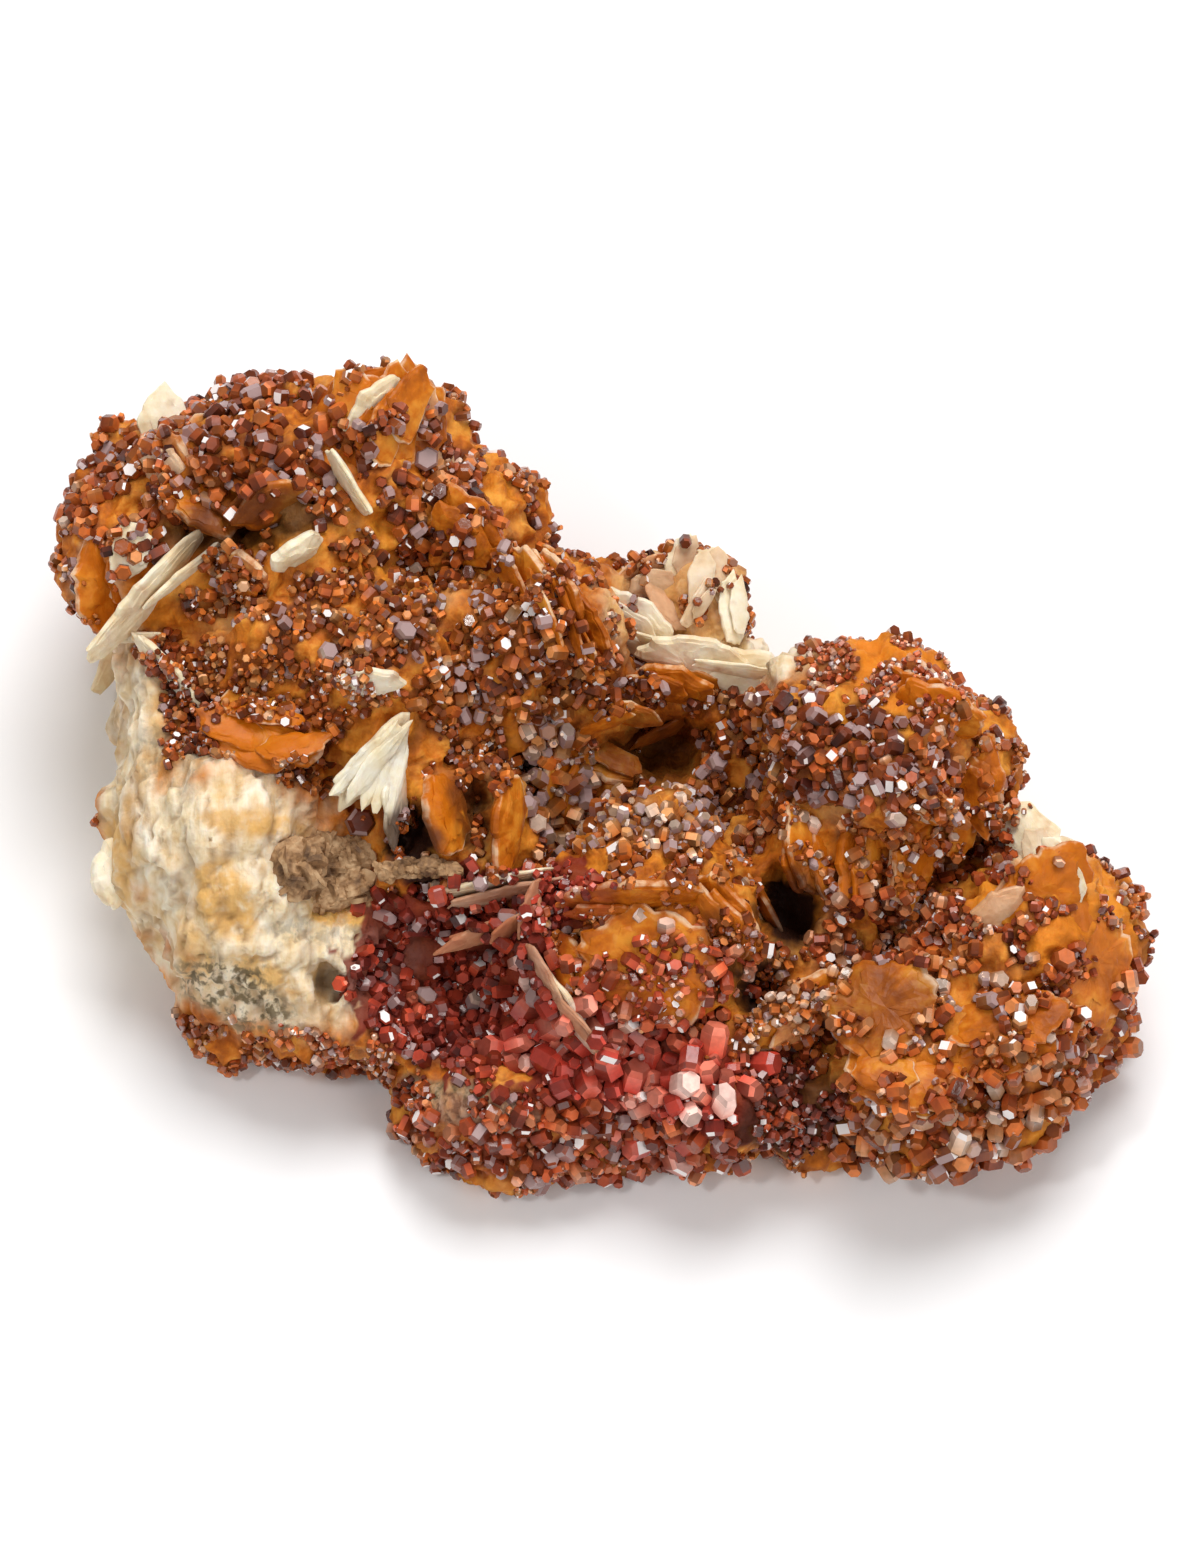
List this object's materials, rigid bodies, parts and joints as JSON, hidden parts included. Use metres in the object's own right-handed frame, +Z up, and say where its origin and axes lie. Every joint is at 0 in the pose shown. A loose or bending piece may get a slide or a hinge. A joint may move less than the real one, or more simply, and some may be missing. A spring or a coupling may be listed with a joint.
{
  "type": "vanadinite on barite mineral specimen",
  "caption": "Mineral specimen: crusts of small six-sided vanadinite crystals over a lump of cream and orange barite with bladed crests, resting on a flat base.",
  "frame": {"origin": "middle of the bounding box, on the flat base that the specimen rests on", "axes": "+Z up from the base, +X to the right and +Y to the back for someone who faces the crystal side from the front edge"},
  "size_m": [0.0806, 0.0616, 0.0311],
  "materials": {
    "barite": "cream barite with orange and tan stains, satin",
    "brown_vanadinite": "brown to orange-red crystals, resinous gloss",
    "red_vanadinite": "deep red crystals, resinous gloss",
    "weathered_crystals": "dull grey-brown crystals"
  },
  "bodies": {
    "root": {"barite_matrix": "barite", "weathered_knot": "weathered_crystals", "vanadinite_upper_left": "brown_vanadinite", "vanadinite_left_edge": "brown_vanadinite", "vanadinite_tower": "brown_vanadinite", "vanadinite_left_middle": "brown_vanadinite", "vanadinite_centre": "brown_vanadinite", "vanadinite_ridge": "brown_vanadinite", "vanadinite_lower_middle": "brown_vanadinite", "vanadinite_right_dome": "brown_vanadinite", "vanadinite_right_flank": "brown_vanadinite", "vanadinite_lower_right": "brown_vanadinite", "vanadinite_far_right": "brown_vanadinite", "vanadinite_lower_edge": "brown_vanadinite", "vanadinite_back": "brown_vanadinite", "vanadinite_red_hollow": "red_vanadinite", "vanadinite_red_cluster": "red_vanadinite"}
  },
  "joints": []
}
